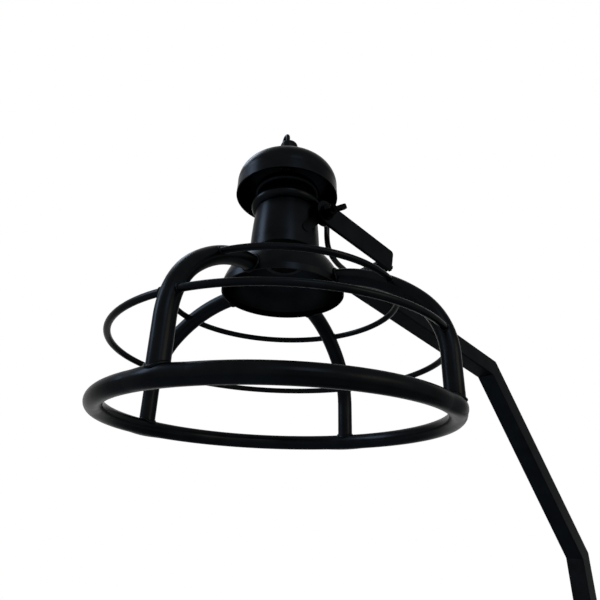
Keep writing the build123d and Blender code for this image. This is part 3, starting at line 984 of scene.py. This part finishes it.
@dataclass
class WingNut:
    """Cast wing nut, with the soft edges that casting and black oxide leave.

    Attributes:
        merge_m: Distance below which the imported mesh's loose corners are merged.
        voxel_mm: Cell size at which its skin is drawn.
        rounding: Passes of smoothing over its edges, and the strength of each.
    """

    merge_m: float = 1e-6
    voxel_mm: float = 0.32
    rounding: tuple[int, float] = (9, 0.5)

    def build(self, node: bpy.types.Object) -> bpy.types.Object:
        """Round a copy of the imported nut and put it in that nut's place.

        Args:
            node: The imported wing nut.

        Returns:
            The cast nut, which rides with its own body.
        """
        bpy.ops.object.select_all(action="DESELECT")
        nut = bpy.data.objects.new("cast_wing_nut", node.data.copy())
        bpy.context.scene.collection.objects.link(nut)
        nut.select_set(True)
        bpy.context.view_layer.objects.active = nut
        bpy.ops.object.mode_set(mode="EDIT")
        bpy.ops.mesh.select_all(action="SELECT")
        bpy.ops.mesh.remove_doubles(threshold=self.merge_m)
        bpy.ops.object.mode_set(mode="OBJECT")
        skin = nut.modifiers.new("skin", "REMESH")
        skin.mode = "VOXEL"
        skin.voxel_size = self.voxel_mm * MM
        soften = nut.modifiers.new("soften", "SMOOTH")
        soften.iterations, soften.factor = self.rounding
        for modifier in (skin, soften):
            bpy.ops.object.modifier_apply(modifier=modifier.name)
        nut.data.materials.clear()
        nut.data.materials.append(BLACK_OXIDE.make())
        nut.data.shade_smooth()
        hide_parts("wing_nut")
        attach(nut, "wing_nut")
        return nut


# ---- studio ----


@dataclass(frozen=True)
class SoftBox:
    """A rectangular lamp that faces the head.

    Attributes:
        name: Name of the lamp.
        azimuth_deg: Its heading from the head, from +X towards +Y.
        elevation_deg: Its height above the head, as an angle.
        distance_m: Its distance from the head.
        size_m: Width and height.
        radiance: Brightness of its face, where white is 1.
        colour: Colour of its light, as sRGB hex.
    """

    name: str
    azimuth_deg: float
    elevation_deg: float
    distance_m: float
    size_m: tuple[float, float]
    radiance: float
    colour: str

    def hang(self, aim: Vector) -> None:
        """Hang the lamp and turn it to what it lights.

        Args:
            aim: Point that it faces, in metres.
        """
        data = bpy.data.lights.new(self.name, "AREA")
        data.shape = "RECTANGLE"
        data.size, data.size_y = self.size_m
        data.energy = math.pi * self.size_m[0] * self.size_m[1] * self.radiance
        data.color = linear(self.colour)[:3]
        lamp = bpy.data.objects.new(self.name, data)
        turn, rise = math.radians(self.azimuth_deg), math.radians(self.elevation_deg)
        level = math.cos(rise)
        way = Vector((math.cos(turn) * level, math.sin(turn) * level, math.sin(rise)))
        lamp.location = aim + way * self.distance_m
        lamp.rotation_mode = "QUATERNION"
        lamp.rotation_quaternion = (-way).to_track_quat("-Z", "Y")
        bpy.context.scene.collection.objects.link(lamp)


# Cool window-like light from the left with a softer one above it, and two weak
# boxes behind the camera, of which the one to its right is warm.
BOXES = (
    SoftBox(
        name="cool_box",
        azimuth_deg=144.0,
        elevation_deg=29.0,
        distance_m=3.0,
        size_m=(0.9, 1.5),
        radiance=26.0,
        colour="#D0E4FF",
    ),
    SoftBox(
        name="high_box",
        azimuth_deg=100.0,
        elevation_deg=54.0,
        distance_m=3.0,
        size_m=(0.9, 0.9),
        radiance=12.0,
        colour="#D6E8FF",
    ),
    SoftBox(
        name="back_box",
        azimuth_deg=248.0,
        elevation_deg=27.0,
        distance_m=3.0,
        size_m=(0.8, 1.2),
        radiance=6.0,
        colour="#CFE4FF",
    ),
    SoftBox(
        name="warm_box",
        azimuth_deg=284.0,
        elevation_deg=10.0,
        distance_m=2.6,
        size_m=(1.2, 0.8),
        radiance=6.0,
        colour="#FFE6C0",
    ),
)


@dataclass
class Studio:
    """Camera, floor, world and lamps.

    Attributes:
        camera_mm: Camera's place in the lamp's frame.
        azimuth_deg: Heading of the view, from +X towards +Y.
        pitch_deg: Upward tilt of the view.
        roll_deg: Roll of the view about its own axis.
        lens_mm: Focal length.
        sensor_mm: Width of the sensor.
        shift: Camera shift to the right and up, as shares of the picture's width.
        near_m: Distance from which the camera sees.
        floor_m: Radius of the floor.
        floor_sides: Sides of its outline.
        floor_gap_m: Gap between it and the lamp, which keeps their faces apart.
        floor_colour: Its colour, as sRGB hex.
        floor_rough: Its roughness.
        aim_mm: Point that the lamps face, in the head's frame.
        ambient: Strength of the world as a light.
    """

    camera_mm: tuple[float, float, float] = (-781.5, -367.6, 1266.7)
    azimuth_deg: float = 49.91
    pitch_deg: float = 23.5
    roll_deg: float = -1.632
    lens_mm: float = 29.93
    sensor_mm: float = 36.0
    shift: tuple[float, float] = (0.00133, 0.001)
    near_m: float = 0.01
    floor_m: float = 3.0
    floor_sides: int = 96
    floor_gap_m: float = 0.0005
    floor_colour: str = "#F2F2F2"
    floor_rough: float = 0.7
    aim_mm: tuple[float, float, float] = (0.0, 0.0, 180.0)
    ambient: float = 0.2

    def build(self) -> None:
        """Set up the camera, the floor, the world and the lamps."""
        self._camera()
        self._floor()
        self._world()
        for box in BOXES:
            box.hang(at_head(*self.aim_mm))

    def _camera(self) -> None:
        """Place the camera at the photograph's viewpoint."""
        heading, pitch = math.radians(self.azimuth_deg), math.radians(self.pitch_deg)
        roll = math.radians(self.roll_deg)
        forward = Vector(
            (
                math.cos(heading) * math.cos(pitch),
                math.sin(heading) * math.cos(pitch),
                math.sin(pitch),
            )
        )
        level = Vector((math.sin(heading), -math.cos(heading), 0.0))
        down = forward.cross(level)
        right = level * math.cos(roll) + down * math.sin(roll)
        down = down * math.cos(roll) - level * math.sin(roll)
        data = bpy.data.cameras.new("photo_camera")
        data.lens = self.lens_mm
        data.sensor_width = self.sensor_mm
        data.shift_x, data.shift_y = self.shift
        data.clip_start = self.near_m
        camera = bpy.data.objects.new("photo_camera", data)
        turned = Matrix((right, -down, -forward)).transposed().to_4x4()
        turned.translation = Vector(self.camera_mm) * MM
        camera.matrix_world = turned
        bpy.context.scene.collection.objects.link(camera)
        bpy.context.scene.camera = camera

    def _floor(self) -> None:
        """Lay a plain pale floor under the lamp."""
        bpy.ops.object.select_all(action="DESELECT")
        bpy.ops.mesh.primitive_circle_add(
            vertices=self.floor_sides,
            radius=self.floor_m,
            fill_type="NGON",
            location=(0, 0, -self.floor_gap_m),
        )
        floor = bpy.context.active_object
        floor.name = "studio_floor"
        material = bpy.data.materials.new("pale_floor")
        material.use_nodes = True
        tree = material.node_tree
        tree.nodes.clear()
        shader = add_node(
            tree,
            "ShaderNodeBsdfPrincipled",
            {},
            {"Base Color": linear(self.floor_colour), "Roughness": self.floor_rough},
        )
        add_node(
            tree, "ShaderNodeOutputMaterial", {}, {"Surface": shader.outputs["BSDF"]}
        )
        floor.data.materials.append(material)

    def _world(self) -> None:
        """Make a world that is white to see and in reflections, but dim as a light."""
        world = bpy.data.worlds.new("studio_world")
        bpy.context.scene.world = world
        world.use_nodes = True
        tree = world.node_tree
        tree.nodes.clear()
        path = add_node(tree, "ShaderNodeLightPath", {}, {})
        seen = add_node(
            tree,
            "ShaderNodeMath",
            {"operation": "ADD"},
            {0: path.outputs["Is Camera Ray"], 1: path.outputs["Is Glossy Ray"]},
        )
        seen = add_node(
            tree,
            "ShaderNodeMath",
            {"operation": "ADD", "use_clamp": True},
            {0: seen.outputs[0], 1: path.outputs["Is Transmission Ray"]},
        )
        strength = add_node(
            tree,
            "ShaderNodeMapRange",
            {},
            {"Value": seen.outputs[0], "To Min": self.ambient, "To Max": 1.0},
        )
        light = add_node(
            tree,
            "ShaderNodeBackground",
            {},
            {"Color": linear("#FFFFFF"), "Strength": strength.outputs["Result"]},
        )
        add_node(tree, "ShaderNodeOutputWorld", {}, {"Surface": light.outputs[0]})


def main() -> None:
    """Build the lamp's looks in order."""
    logging.basicConfig(level=logging.INFO, format="%(name)s: %(message)s")
    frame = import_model()
    bpy.context.scene.view_settings.view_transform = "Standard"
    Studio().build()
    dress_nodes(frame["nodes"])
    cable = FreeCable().build()
    log.info("free cable: %d vertices", len(cable.data.vertices))
    welds = Welds().build()
    log.info("welds: %d pieces", len(welds))
    shell = ScrewShell().build()
    log.info("screw shell: %d vertices", len(shell.data.vertices))
    nut = WingNut().build(frame["nodes"]["wing_nut"])
    log.info("wing nut: %d vertices", len(nut.data.vertices))


if __name__ == "__main__":
    main()
